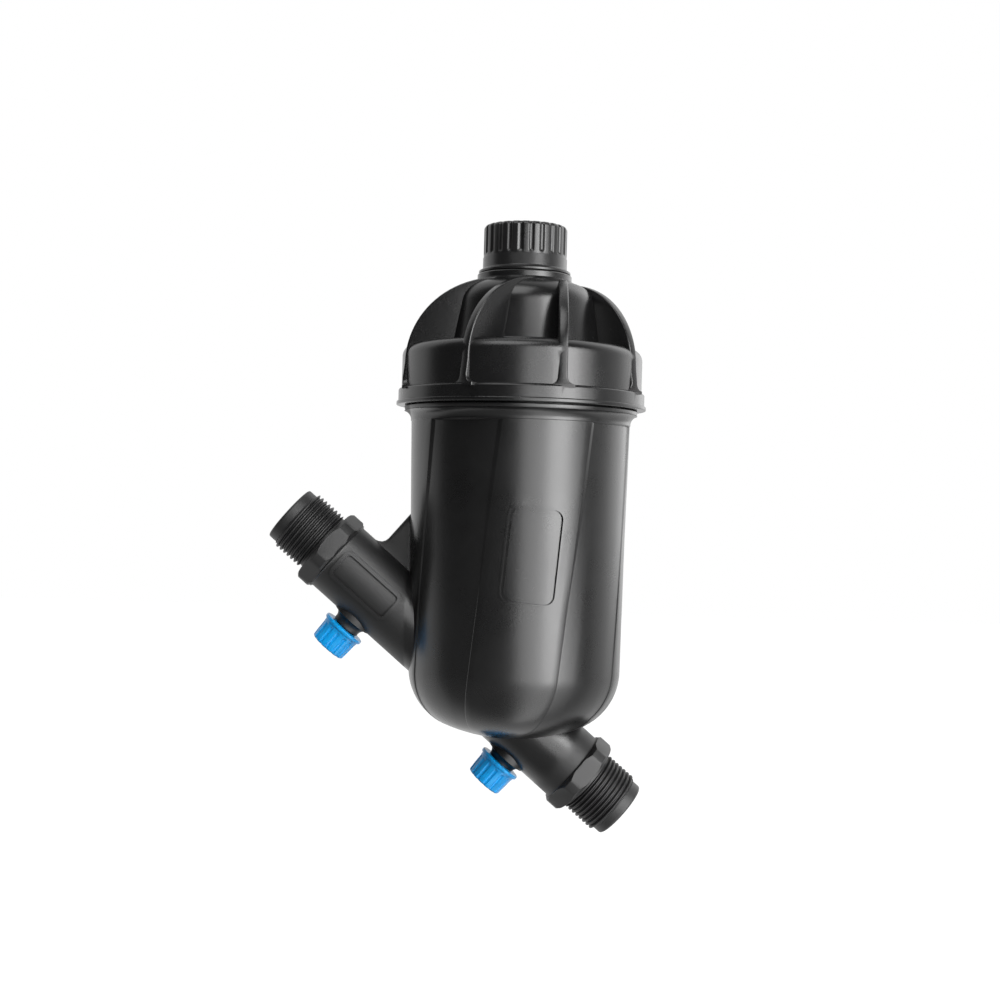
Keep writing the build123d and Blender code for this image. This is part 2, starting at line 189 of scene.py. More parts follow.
def pipe_run(plastic):
    """1 on the pipe run with its web and ports, and 0 on the bowl."""
    x, z = plastic.parts(plastic.place(), "XZ")
    along = (x - crossing.x) * pipe_dir.x + (z - crossing.z) * pipe_dir.z
    beside_bowl = plastic.soft_step(crossing.x - x, 42.6 * mm, 43.6 * mm)
    under_bowl = plastic.soft_step(along, 22 * mm, 27 * mm)
    return beside_bowl.maths("MAXIMUM", under_bowl)


body_plastic = black_plastic("bowl_plastic", 0.007, 0.27, pipe_run)

# Bowl: one moulding with the pipe run. Its wall carries four raised panels that twist round
# it on the way down, fade into the wall, and go on as fine lines to the bottom.
bowl_r, bowl_foot_r, bowl_top_z = 42.4, 41.4, 115.0
dome_z, corner_r, bowl_depth, wall = 18.0, 24.0, 9.3, 3.0
panel_proud, panel_fade_z, panel_spread = 0.7, 36.0, 47.0
panel_start, panel_twist, floor_bend = -9.3, 0.16, 0.006
line_proud, line_fade_r, flank_wide, flank_narrow = 0.3, 12, 2.5, 0.5
flank_shape = ((0.12, 0.95), (0.88, 0.05), (1, 0), (1.3, 0))
neck_root_r, neck_crest_r, neck_top_z = 42.6, 43.9, 138.9


def solid(name, points, faces):
    """Object of a closed mesh, with its faces turned outwards."""
    mesh = bpy.data.meshes.new(name)
    mesh.from_pydata(points, [], faces)
    shell = bmesh.new()
    shell.from_mesh(mesh)
    bmesh.ops.recalc_face_normals(shell, faces=shell.faces)
    if shell.calc_volume(signed=True) < 0:
        bmesh.ops.reverse_faces(shell, faces=shell.faces)
    shell.to_mesh(mesh)
    shell.free()
    made = bpy.data.objects.new(name, mesh)
    bpy.context.collection.objects.link(made)
    return made


def skin(name, rings):
    """Closed solid through rings of points. The first and the last ring is a single point."""
    points, faces, starts = [], [], []
    for ring in rings:
        starts.append(len(points))
        points += ring
    for low, high, start, after in zip(rings, rings[1:], starts, starts[1:]):
        count = max(len(low), len(high))
        for column in range(count):
            following = (column + 1) % count
            corners = [start + column % len(low), start + following % len(low),
                       after + following % len(high), after + column % len(high)]
            faces.append(list(dict.fromkeys(corners)))
    return solid(name, points, faces)


def lathe(name, outline, columns=144, shape=None):
    """Solid turned about Z from an outline that runs from axis to axis, bottom first.
    shape(angle, radius, height) may give each point another radius."""
    rings = []
    for radius, height in outline:
        if radius < 1e-6:
            rings.append([(0, 0, height)])
            continue
        ring = []
        for column in range(columns):
            angle = tau * column / columns
            out = shape(angle, radius, height) if shape else radius
            ring.append((out * cos(angle), out * sin(angle), height))
        rings.append(ring)
    return skin(name, rings)


def arc(centre_r, centre_z, radius, start, end, steps=8):
    """Points of an outline along an arc, by angles in degrees from level."""
    turn = [radians(start + (end - start) * step / steps) for step in range(steps + 1)]
    return [(centre_r + radius * cos(a), centre_z + radius * sin(a)) for a in turn]


def baked(piece):
    """The piece with its modifiers applied and removed."""
    bpy.context.view_layer.update()
    depsgraph = bpy.context.evaluated_depsgraph_get()
    result = bpy.data.meshes.new_from_object(piece.evaluated_get(depsgraph))
    piece.modifiers.clear()
    piece.data = result
    return piece


def combined(base, how, *tools):
    """The base solid with others joined to it or cut from it. The tools are used up."""
    for tool in tools:
        cut = base.modifiers.new("cut", "BOOLEAN")
        cut.operation, cut.object, cut.solver = how, tool, "MANIFOLD"
        baked(base)
        bpy.data.objects.remove(tool)
    return base


def bowl_outline(grow, top):
    """Half outline of the bowl from the bottom up, grown by an even skin."""
    row_height = 4.0
    corner_x = bowl_foot_r - corner_r
    drop = dome_z + bowl_depth
    floor_r = (corner_x ** 2 + drop ** 2 - corner_r ** 2) / (2 * (drop - corner_r))
    turn = degrees(asin(corner_x / (floor_r - corner_r)))
    outline = arc(0, floor_r - bowl_depth, floor_r + grow, -90, turn - 90, 10)
    outline += arc(corner_x, dome_z, corner_r + grow, turn - 90, 0, 16)[1:]
    rows = int((top - dome_z) / row_height)
    draft = (bowl_r - bowl_foot_r) / (bowl_top_z - dome_z)
    for row in range(1, rows + 1):
        height = (top - dome_z) * row / rows
        outline.append((bowl_foot_r + grow + draft * height, dome_z + height))
    return outline


def panelled_bowl():
    """The bowl's outer skin, with its columns of points along the panels' edges."""
    columns = []
    for quarter in range(0, 360, 90):
        panel_end = quarter + panel_spread
        columns += [(quarter + panel_spread * i / 12, 0, 1) for i in range(13)]
        columns += [(panel_end, width, level) for width, level in flank_shape]
        columns += [(panel_end + (90 - panel_spread) * i / 10, 0, 0) for i in range(2, 9)]
        columns += [(quarter + 90, -width, level) for width, level in reversed(flank_shape)]
    rings = [[(0, 0, -bowl_depth)]]
    for radius, height in bowl_outline(0, bowl_top_z)[1:]:
        below = max(dome_z - height, 0) + (bowl_foot_r - min(radius, bowl_foot_r)) / 2
        twist = panel_twist * (bowl_top_z - max(height, dome_z)) + panel_twist * below
        left = panel_start - twist - floor_bend * below ** 2
        rise = (height - panel_fade_z) / (bowl_top_z - panel_fade_z)
        proud = max(panel_proud * rise, line_proud * min(radius / line_fade_r, 1))
        flank = max(flank_wide * min(rise * 1.5, 1), flank_narrow) * min(bowl_foot_r / radius, 3)
        ring = []
        for anchor, width, level in columns:
            angle = radians(anchor + width * flank + left - 90)
            out = radius + proud * level
            ring.append((out * cos(angle), out * sin(angle), height))
        rings.append(ring)
    rings.append([(0, 0, bowl_top_z)])
    return skin("filter_body", rings)


housing = panelled_bowl()
rim = [(0, 113.0), (41.0, 113.0), (43.3, 114.6)] + arc(46.9, 115.0, 3.6, 180, 105)
rim += [(45.7, 118.7)] + arc(45.6, 119.9, 0.4, 0, 90, 4) + [(neck_crest_r, 120.3)]
neck = [(neck_root_r, 120.4), (neck_root_r, 134.4), (neck_crest_r, 135.1)]
neck += [(neck_crest_r, neck_top_z - 0.4), (neck_crest_r - 0.4, neck_top_z), (0, neck_top_z)]
housing = combined(housing, "UNION", lathe("rim", rim + neck))

# Threads: right-handed ridges, moulded on every screwed end. The two pipe ends carry the
# three-quarter inch parallel pipe thread, and the neck of the bowl a coarse one.
neck_pitch, pipe_pitch, port_pitch = 5.0, 1.814, 0.907


class Growth(Tree):
    """A Geometry Nodes group with named inputs. It takes a mesh and gives a mesh."""

    def __init__(self, name, **inputs):
        self.tree = bpy.data.node_groups.new(name, "GeometryNodeTree")
        sockets = self.tree.interface
        sockets.new_socket("Geometry", in_out="OUTPUT", socket_type="NodeSocketGeometry")
        sockets.new_socket("Geometry", in_out="INPUT", socket_type="NodeSocketGeometry")
        self.identifiers = {}
        for key, kind in inputs.items():
            made = sockets.new_socket(key, in_out="INPUT", socket_type=f"NodeSocket{kind}")
            self.identifiers[key] = made.identifier
        self.entry = self.tree.nodes.new("NodeGroupInput")

    def given(self, name):
        return Value(self, self.entry.outputs[name])

    def finish(self, grown):
        """End the group with real geometry in its material."""
        real = self.node("GeometryNodeRealizeInstances", {"Geometry": grown})
        painted = self.node("GeometryNodeSetMaterial", {
            "Geometry": real, "Material": self.given("Material")})
        way_out = self.tree.nodes.new("NodeGroupOutput")
        self.tree.links.new(painted.socket, way_out.inputs["Geometry"])
        return self

    def grow(self, name, material, base=None, **values):
        """Mesh object that the group makes from a base mesh and its inputs."""
        holder = bpy.data.objects.new(name, base or bpy.data.meshes.new(name))
        bpy.context.collection.objects.link(holder)
        grower = holder.modifiers.new("growth", "NODES")
        grower.node_group = self.tree
        grower[self.identifiers["Material"]] = material
        for key, value in values.items():
            grower[self.identifiers[key]] = value
        return baked(holder)


def screw_growth():
    """Ridge with a rounded section, swept along a right-handed spiral."""
    sizes = dict.fromkeys(("Radius", "Pitch", "Turns", "Depth", "Foot", "Crest"), "Float")
    group = Growth("screw_ridge", Material="Material", Steps="Int", **sizes)
    radius, pitch, turns, depth, foot, crest = (group.given(name) for name in sizes)
    path = group.node("GeometryNodeCurveSpiral", {
        "Resolution": group.given("Steps"), "Rotations": turns, "Start Radius": radius,
        "End Radius": radius, "Height": pitch * turns, "Reverse": True})
    upright = group.node("GeometryNodeSetCurveNormal", {"Curve": path}, mode="Z_UP")
    section = group.node("GeometryNodeCurvePrimitiveQuadrilateral", {
        "Bottom Width": foot, "Top Width": crest, "Height": depth * 1.15, "Offset": 0.0},
        mode="TRAPEZOID")
    softened = group.node("GeometryNodeFilletCurve", {
        "Curve": section, "Radius": crest * 0.45, "Count": 3, "Limit Radius": True}, mode="POLY")
    outward = group.node("GeometryNodeTransform", {
        "Geometry": softened, "Rotation": (0, 0, -pi / 2),
        "Translation": group.node("ShaderNodeCombineXYZ", {"X": depth * 0.425})})
    return group.finish(group.node("GeometryNodeCurveToMesh", {
        "Curve": upright, "Profile Curve": outward, "Fill Caps": True}))


screw_ridge = screw_growth()


def moved(piece, place):
    """The piece with its mesh taken to another place."""
    piece.data.transform(place)
    return piece


def thread(root_r, crest_r, pitch, low, high, crest=0.2, foot=0.97):
    """Thread ridge between two heights, with chamfered ends. Its widths at the crest and at
    the foot are shares of the pitch."""
    depth = crest_r - root_r
    turns = (high - low) / pitch + 2
    ridge = screw_ridge.grow("ridge", body_plastic, Radius=root_r, Pitch=pitch, Turns=turns,
                             Depth=depth, Foot=foot * pitch, Crest=crest * pitch, Steps=64)
    moved(ridge, Matrix.Translation((0, 0, low - pitch)))
    inside, outside = root_r - depth * 0.6, crest_r + 1
    keeper = [(0, low), (inside, low), (outside, low + depth), (outside, high - depth)]
    return combined(ridge, "INTERSECT", lathe("keeper", keeper + [(inside, high), (0, high)], 96))


neck_thread = thread(neck_root_r, neck_crest_r, neck_pitch, 121.5, 134.8, 0.22, 0.5)
housing = combined(housing, "UNION", neck_thread)

# Pipe run: two stubs in line through the bowl, each with a spanner collar behind its thread
# and a plain pilot at its end. A web braces the upper one, which has a bare framed plate.
inlet_reach, outlet_reach, inlet_pipe_r, outlet_pipe_r = 57.0, 118.8, 14.6, 14.9
pipe_root_r, pipe_crest_r, pilot_r, pilot_length = 12.06, 13.22, 11.9, 3.8
thread_setback, collar_setback, collar_thick, collar_corner_r = 17.6, 25.6, 7.1, 17.44
gusset_reach, gusset_fillet, gusset_half = 82.8, 4, 2
port_dir = Vector((pipe_dir.z, 0, -pipe_dir.x))
front, right = Vector((0, -1, 0)), Vector((1, 0, 0))


def axes(origin, x_dir, z_dir):
    """Matrix of a local frame with its origin at a place counted from the crossing point."""
    turn = Matrix((x_dir, z_dir.cross(x_dir), z_dir)).transposed().to_4x4()
    return Matrix.Translation(origin) @ turn


inlet_frame = axes(Vector(), front, pipe_dir)
outlet_frame = axes(Vector(), front, -pipe_dir)
facing = axes(Vector(), right, front)


def bar(name, outline, low, high):
    """Solid with a level outline, counted anticlockwise, between two heights."""
    count = len(outline)
    points = [(x, y, low) for x, y in outline] + [(x, y, high) for x, y in outline]
    sides = [(i, (i + 1) % count, count + (i + 1) % count, count + i) for i in range(count)]
    caps = [tuple(reversed(range(count))), tuple(range(count, 2 * count))]
    return solid(name, points, sides + caps)


def spanner_collar(foot, turn):
    """Hexagon 30.2 mm across its flats, with its corners turned down and bevelled."""
    head = foot + collar_thick
    corners = [radians(60 * side + turn) for side in range(6)]
    outline = [(collar_corner_r * cos(a), collar_corner_r * sin(a)) for a in corners]
    edge = [(0, foot), (14.9, foot), (15.5, foot + 0.25), (16.4, foot + 1.2)]
    edge += [(16.4, head - 1.2), (15.5, head - 0.25), (14.9, head), (0, head)]
    hexagon = bar("collar", outline, foot, head)
    return combined(hexagon, "INTERSECT", lathe("collar_edge", edge, 96))


def stub(reach, pipe_r, start, turn, place):
    """One end of the pipe run along Z: pipe, collar, thread and pilot."""
    collar, threaded, pilot = reach - collar_setback, reach - thread_setback, reach - pilot_length
    outline = [(0, start), (pipe_r, start), (pipe_r, collar - 0.8)]
    outline += arc(pipe_r + 0.8, collar - 0.8, 0.8, 180, 90, 4)
    outline += [(pipe_r, collar + 1), (12.3, collar + 1), (12.3, threaded)]
    outline += [(pipe_root_r, threaded + 0.4), (pipe_root_r, pilot - 0.2), (pilot_r, pilot)]
    outline += [(pilot_r, reach - 0.9)] + arc(pilot_r - 0.8, reach - 0.8, 0.8, 0, 90, 4)
    end = combined(lathe("stub", outline + [(0, reach)], 128), "UNION", spanner_collar(collar, turn))
    ridge = thread(pipe_root_r, pipe_crest_r, pipe_pitch, threaded, pilot + 0.1)
    return moved(combined(end, "UNION", ridge), place)


def eased(piece, width, segments):
    """The piece with its sharp edges rounded."""
    round_off = piece.modifiers.new("round", "BEVEL")
    round_off.width, round_off.segments, round_off.limit_method = width, segments, "ANGLE"
    round_off.angle_limit = radians(50)
    return baked(piece)


def gusset():
    """Web in the plane of both axes, in the corner above the upper stub."""
    rise, along = -port_dir, -pipe_dir
    foot = along * gusset_reach + rise * outlet_pipe_r
    inside_x = -39.9
    head = foot + rise * ((inside_x - foot.x) / rise.x)
    outline = [along * 38, head, foot + rise * gusset_fillet]
    for angle in (22, 45, 68):
        up_web = gusset_fillet - gusset_fillet * sin(radians(angle))
        up_pipe = gusset_fillet - gusset_fillet * cos(radians(angle))
        outline.append(foot + rise * up_web + along * up_pipe)
    outline += [foot + along * gusset_fillet, along * (gusset_reach + gusset_fillet)]
    web = bar("gusset", [(point.x, point.z) for point in outline], -gusset_half, gusset_half)
    return eased(moved(web, facing), 1.2, 4)


housing = combined(housing, "UNION", stub(inlet_reach, inlet_pipe_r, -5, 16, inlet_frame),
                   stub(outlet_reach, outlet_pipe_r, 38, -16, outlet_frame), gusset())


def rounded(width, height, radius):
    """Rounded rectangle about the origin, anticlockwise."""
    outline = []
    for corner, (sx, sy) in enumerate(((1, 1), (-1, 1), (-1, -1), (1, -1))):
        middle = (sx * (width / 2 - radius), sy * (height / 2 - radius))
        outline += arc(*middle, radius, 90 * corner, 90 * corner + 90, 6)
    return outline


def pipe_plate(width, height, corner, grow):
    """Pad on the side of the upper stub, and the pipe's skin grown to its face."""
    pad = bar("plate", rounded(width, height, corner), 0, 2 * outlet_pipe_r)
    moved(pad, axes(-pipe_dir * 76.7, pipe_dir, front))
    wall_r = outlet_pipe_r + grow
    pipe_skin = lathe("pipe_skin", [(0, 40), (wall_r, 40), (wall_r, 110), (0, 110)])
    return pad, moved(pipe_skin, outlet_frame)


pad, pad_skin = pipe_plate(28.8, 13.2, 3.0, 0.75)
housing = combined(housing, "UNION", combined(pad, "INTERSECT", pad_skin))
field, field_skin = pipe_plate(25.8, 10.2, 1.5, -0.3)
housing = combined(housing, "DIFFERENCE", combined(field, "DIFFERENCE", field_skin))

# Bare plate on the front panel of the bowl: a thin raised pad with a groove inside its edge,
# moulded with the bowl and left smooth.
plate_width, plate_height, plate_corner, panel_low_r = 21.5, 36.5, 4.0, 41.59


def bowl_pad(name, inset):
    """Slanted rounded pad, from inside the bowl's wall out past its skin."""
    outline = rounded(plate_width - 2 * inset, plate_height - 2 * inset, plate_corner - inset)
    slanted = axes(Vector((5.0, 0, 64.0)), right, front) @ Matrix.Rotation(radians(-5), 4, "Z")
    return moved(bar(name, outline, 30, 60), slanted)


def bowl_skin(grow):
    """The skin of the bowl's panels, grown to the face of a pad or groove."""
    top_r, low_r = bowl_r + panel_proud + grow, panel_low_r + grow
    outline = [(0, panel_fade_z), (low_r, panel_fade_z), (top_r, bowl_top_z), (0, bowl_top_z)]
    return lathe("bowl_skin", outline)


housing = combined(housing, "UNION", combined(bowl_pad("bowl_plate", 0), "INTERSECT", bowl_skin(0.5)))
groove = combined(bowl_pad("groove", 0.6), "DIFFERENCE", bowl_skin(-0.35), bowl_pad("field", 1.8))
housing = combined(housing, "DIFFERENCE", groove)

# Pressure ports: a flared boss and a threaded nipple stand on each stub, moulded with it and
# open to its bore. A gauge is screwed on there to see whether the screen is clogged.
port_root_r, port_crest_r, port_rise = 4.28, 4.86, {"inlet": 17.4, "outlet": 19.0}


def port_frame(station):
    """Frame of a pressure port, a given way along the pipe, with Z out along the port."""
    return axes(pipe_dir * station, pipe_dir, port_dir)


def port_nipple(pipe_r, rise):
    """Boss and nipple along Z, from inside the pipe's wall."""
    outline = [(0, 4), (8.3, 4), (8.3, pipe_r)] + arc(8.3, pipe_r + 2.6, 2.6, -90, -180)
    outline += [(5.7, rise - 0.6), (5.4, rise - 0.3), (port_root_r, rise - 0.3)]
    outline += [(port_root_r, rise + 6.6), (3.9, rise + 7), (0, rise + 7)]
    ridge = thread(port_root_r, port_crest_r, port_pitch, rise + 0.3, rise + 6.8)
    return combined(lathe("nipple", outline, 72), "UNION", ridge)


inlet_port, outlet_port = port_frame(9.3), port_frame(-72.2)
inlet_nipple = moved(port_nipple(inlet_pipe_r, port_rise["inlet"]), inlet_port)
outlet_nipple = moved(port_nipple(outlet_pipe_r, port_rise["outlet"]), outlet_port)
housing = combined(housing, "UNION", inlet_nipple, outlet_nipple)

# Inside of the housing: the core of the mould leaves a smooth wall, a round seat for the
# screen's foot, a step in the neck for the cover's seal, and the straight bores of the pipes.
pipe_bore_r, port_bore_r, seat_r, seat_bore_r = 9.5, 2.6, 24.7, 22.3


def disc(radius, low, high, columns=96):
    return lathe("disc", [(0, low), (radius, low), (radius, high), (0, high)], columns)


def without_specks(mesh, fewest=12):
    """The mesh without the loose slivers of a few points that cuts along a face can leave."""
    shell = bmesh.new()
    shell.from_mesh(mesh)
    unseen = set(shell.verts)
    while unseen:
        island = [unseen.pop()]
        for point in island:
            near = {edge.other_vert(point) for edge in point.link_edges} & unseen
            unseen -= near
            island += near
        if len(island) < fewest:
            bmesh.ops.delete(shell, geom=island, context="VERTS")
    shell.to_mesh(mesh)
    shell.free()


def finished(piece, material, body, node, sharp=32):
    """The piece set into the frame in its material, riding on its body for its CAD node."""
    without_specks(piece.data)
    piece.data.transform(to_frame)
    piece.data.materials.clear()
    piece.data.materials.append(material)
    piece.data.shade_smooth()
    piece.data.set_sharp_from_angle(angle=radians(sharp))
    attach(piece, body)
    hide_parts(node)


inside = bowl_outline(-wall, 114.0) + [(39.4, 135.5), (43.1, 135.5), (43.1, 140.0), (0, 140.0)]
inside[0] = (0, inside[0][1])
housing = combined(housing, "DIFFERENCE", lathe("inside", inside))
under = bowl_outline(-wall / 2, 30.0)
bowl_floor = lathe("under", [(0, under[0][1])] + under[1:] + [(0, 30)])
seat = combined(disc(seat_r, -9, 18), "INTERSECT", bowl_floor)
seat = combined(seat, "DIFFERENCE", disc(seat_bore_r, -12, 19))
housing = combined(housing, "UNION", seat)
bores = [moved(disc(pipe_bore_r, 0, 58), inlet_frame), moved(disc(pipe_bore_r, 38, 120), outlet_frame)]
bores.append(moved(disc(port_bore_r, 0, 25.4, 48), inlet_port))
bores.append(moved(disc(port_bore_r, 0, 27, 48), outlet_port))
housing = combined(housing, "DIFFERENCE", *bores)
finished(housing, body_plastic, "housing", "housing")

# Cover: a screw cap for the bowl with a flange, a deep skirt and a domed crown. Eight fins
# leave its neck at a tangent and run out over the shoulder to the flange, for grip.
cover_plastic = black_plastic("cover_plastic", 0.007, 0.25)
flange_top_z, shoulder_z, flush_root_r, flush_crest_r = 127.3, 136.2, 11.94, 13.1
outline = [(0, 120.6), (48.8, 120.6)] + arc(48.8, 121.0, 0.4, -90, 0, 3) + arc(48.8, 121.8, 0.4, 0, 90, 3)
outline += [(48.5, 122.3)] + arc(47.7, 126.3, 0.8, 0, 90, 4) + [(47.3, 127.4)]
outline += arc(42.8, 139.9, 4.5, 0, 90) + arc(33.3, 146.4, 2.0, -90, -172, 6)
outline += arc(18.7, 159.4, 10.3, 8.0, 76, 12)
outline += [(19.4, 170.2), (18.6, 170.9), (18.6, 172.8), (18.2, 173.2), (flush_root_r, 173.2)]
outline += [(flush_root_r, 187.0), (11.5, 187.4), (0, 187.4)]
cover = lathe("screw_cover", outline, 192)


def tangent_fin():
    """One fin, built along its outer edge, which follows the cover's round envelope."""
    offset, half_thick, ease, foot_fillet = 14.5, 1.75, 0.6, 3.0
    flange_r, centre_r, envelope_r = 48.4, 13.1, 34.6
    foot_heights = (126.2, flange_top_z, 127.5, 127.8, 128.3, 129.0, 129.9, 130.5)
    edge = [(sqrt(flange_r ** 2 - offset ** 2), height) for height in foot_heights]
    for step in range(25):
        angle = radians(84 * step / 24)
        out = centre_r + envelope_r * cos(angle)
        edge.append((sqrt(out ** 2 - offset ** 2), shoulder_z + envelope_r * sin(angle)))
    rings = []
    for step, (out, height) in enumerate(edge):
        before, after = edge[max(step - 1, 0)], edge[min(step + 1, len(edge) - 1)]
        short = min(max(flange_top_z + foot_fillet - height, 0), foot_fillet)
        half = half_thick + foot_fillet - sqrt(foot_fillet ** 2 - short ** 2)
        along = Vector((0, after[0] - before[0], after[1] - before[1])).normalized()
        inward = Vector((0, -along.z, along.y))
        tip = Vector((0, out, height))
        root = Vector((0, 10.0, min(height, shoulder_z) + 0.1 * step))
        rounds = arc(half - ease, -ease, ease, 0, 90, 4) + arc(ease - half, -ease, ease, 90, 180, 4)
        ring = [root + Vector((-half, 0, 0)), root + Vector((half, 0, 0))]
        ring += [tip + Vector((side, 0, 0)) - inward * depth for side, depth in rounds]
        rings.append([(point.x + offset, -point.y, point.z) for point in ring])
    first, last = ([tuple(sum((Vector(point) for point in ring), Vector()) / len(ring))]
                   for ring in (rings[0], rings[-1]))
    return skin("fin", [first] + rings + [last])


def copies_growth():
    """Copies of a mesh, evenly spaced about Z."""
    group = Growth("ring_of_copies", Material="Material", Count="Int")
    count = group.given("Count")
    turn = group.node("GeometryNodeInputIndex") * tau / count
    return group.finish(group.node("GeometryNodeInstanceOnPoints", {
        "Points": group.node("GeometryNodePoints", {"Count": count}),
        "Instance": group.given("Geometry"),
        "Rotation": group.node("ShaderNodeCombineXYZ", {"Z": turn})}))


one_fin = tangent_fin()
fins = copies_growth().grow("fins", cover_plastic, base=one_fin.data, Count=8)
bpy.data.objects.remove(one_fin)
cover = combined(cover, "UNION", fins)
hollow = [(0, 119.6), (44.2, 119.6), (44.2, 141.4), (26.5, 141.4), (26.5, 160.8), (9.6, 168.0)]
cover = combined(cover, "DIFFERENCE", lathe("hollow", hollow + [(9.6, 188.4), (0, 188.4)]))
cover = combined(cover, "UNION", thread(flush_root_r, flush_crest_r, pipe_pitch, 174.6, 187.0))
finished(cover, cover_plastic, "cover", "cover")

# Flush cap: a deep cap of the same black plastic, screwed on the cover's nipple. It has a
# small flange at its foot, and upright flutes that start above a plain skirt.
cap_plastic = black_plastic("cap_plastic", 0.009, 0.27)
foot, flush_flutes = 173.5, 24


def fluted(count, depth, width, start, runout):
    """Radius function of a turned cap with narrow flutes above a height."""
    def shape(angle, radius, height):
        across = abs((angle * count / tau) % 1 - 0.5) * 2
        groove = sqrt(max(1 - (across / width) ** 2, 0))
        return radius - depth * groove * min(max((height - start) / runout, 0), 1)
    return shape


outline = [(0, foot), (17.9, foot), (18.1, foot + 0.2), (18.1, foot + 0.9), (17.7, foot + 1.2)]
outline += [(16.8, foot + 1.7), (16.6, foot + 2.1), (16.6, foot + 6.0), (16.4, foot + 6.4)]
outline += [(16.4, foot + 7.0 + 0.2 * step) for step in range(6)] + [(16.4, foot + 13.0)]
outline += arc(14.8, foot + 17.4, 1.6, 0, 90, 6) + [(0, foot + 19.0)]
grip = fluted(flush_flutes, 0.55, 0.44, foot + 7.0, 0.9)
flush_cap = lathe("fluted_flush_cap", outline, 14 * flush_flutes, grip)
flush_cap = combined(flush_cap, "DIFFERENCE", disc(13.4, foot - 1, foot + 16))
finished(flush_cap, cap_plastic, "flush_cap", "flush_cap", sharp=40)

# Port caps: small tapered caps of glossy blue plastic, each moulded in one piece with a lip
# and fourteen flutes, and screwed over a flat washer on its port.
port_flutes = 14
blue = Paint("port_cap_plastic", IOR=1.5)
tone = blue.grain(220.0, 2.0)
blue.feed("Base Color", blue.mix(tone, (0.0, 0.33, 0.82, 1), (0.0, 0.42, 0.95, 1)))
blue.feed("Roughness", 0.24 + 0.1 * tone)
blue.bump(blue.grain(1500.0, 2.0), 0.01 * mm)
outline = [(0, 0), (8.6, 0), (8.8, 0.2), (8.8, 1.1), (8.6, 1.4), (8.1, 1.5), (8.0, 1.8)]
outline += [(7.99 - 0.05 * step, 2.2 + 0.2 * step) for step in range(6)] + [(7.6, 7.0)]
outline += arc(6.6, 9.6, 0.8, 3, 90, 5) + [(0, 10.4)]
grip = fluted(port_flutes, 0.5, 0.42, 2.2, 0.9)
for end, port in (("inlet", inlet_port), ("outlet", outlet_port)):
    name = f"{end}_port_cap"
    cap = lathe(f"fluted_{name}", outline, 16 * port_flutes, grip)
    cap = combined(cap, "DIFFERENCE", disc(5.16, -1, 8.7, 48))
    moved(cap, port @ Matrix.Translation((0, 0, port_rise[end])))
    finished(cap, blue.material, name, name, sharp=40)

# Seals: ring seals and flat washers, moulded and cut from black rubber. They sit in their
# grooves and caps, and are kept as they are in the frame.
rubber = Paint("rubber", IOR=1.5)
dust = rubber.grain(300.0, 3.0)
rubber.feed("Base Color", rubber.mix(dust, (0.008, 0.008, 0.008, 1), (0.02, 0.02, 0.02, 1)))
rubber.feed("Roughness", 0.5 + 0.15 * dust)
rubber.bump(rubber.grain(2500.0, 2.0), 0.01 * mm)


def painted(material, *nodes):
    """Show CAD nodes in a material."""
    for node in nodes:
        frame["nodes"][node].data.materials.clear()
        frame["nodes"][node].data.materials.append(material)


painted(rubber.material, "cover_o_ring", "flush_gasket", "inlet_port_gasket", "outlet_port_gasket")
painted(rubber.material, "screen_top_seal", "screen_bottom_seal")

# Screen: a moulded grey cage between two end rings, with a tube of woven steel wire slid
# inside it. It lifts out through the neck, and is kept as it is in the frame.
wires_round, wire_pitch = 600.0, 0.25 * mm
steel = Paint("woven_steel", Metallic=1.0)
x, y, z = steel.parts(steel.place(), "XYZ")
warp = (y.maths("ARCTAN2", x - bowl_x) * wires_round).maths("SINE")
weft = (z * (tau / wire_pitch)).maths("SINE")
wires = warp * weft
steel.feed("Base Color", steel.mix(0.5 + 0.5 * wires, (0.2, 0.2, 0.2, 1), (0.62, 0.62, 0.63, 1)))
steel.feed("Roughness", 0.35 + 0.1 * steel.grain(400.0))
steel.bump(wires, 0.05 * mm)
painted(steel.material, "screen_mesh")
cage_plastic = black_plastic("cage_plastic", 0.05, 0.4)
painted(cage_plastic, "screen_cage", "screen_top_ring", "screen_bottom_ring")

# Studio: a tall soft light on the right makes the long highlight down the bowl, with a wide
# reflector beside it. Glossy plastic mirrors a surround that is dark in front and bright behind,
# and a floor that glows to glossy rays with painted shade in front, painted light behind and a
# painted pool of the key light; the camera sees them nearly white.
scene = bpy.context.scene
up = Vector((0, 0, 1))
photo_scale, photo_width, sensor = 0.3956 * mm, 1000, 36
camera_distance, camera_roll = 620 * mm, 1.575
aim = to_frame @ Vector((-7.3, 0, 84.3))
camera_data = bpy.data.cameras.new("camera")
camera_data.sensor_width = sensor
camera_data.lens = sensor * camera_distance / (photo_scale * photo_width)
camera_data.clip_start = 0.01
camera = bpy.data.objects.new("camera", camera_data)
bpy.context.collection.objects.link(camera)
upright = Matrix.Rotation(radians(90), 4, "X") @ Matrix.Rotation(radians(camera_roll), 4, "Z")
camera.matrix_world = Matrix.Translation(aim + front * camera_distance) @ upright
scene.camera = camera


def soft_light(name, azimuth, distance, width, tall, power, height=0.0):
    """Area light that faces the bowl from an azimuth, counted from the front to the right."""
    lamp = bpy.data.lights.new(name, "AREA")
    lamp.shape, lamp.size, lamp.size_y, lamp.energy = "RECTANGLE", width, tall, power
    holder = bpy.data.objects.new(name, lamp)
    bpy.context.collection.objects.link(holder)
    middle = to_frame @ Vector((0, 0, 80))
    away = Vector((sin(radians(azimuth)), -cos(radians(azimuth)), 0))
    place = middle + away * distance + up * height
    aimed = (middle - place).to_track_quat("-Z", "Y").to_matrix().to_4x4()
    holder.matrix_world = Matrix.Translation(place) @ aimed
    return holder


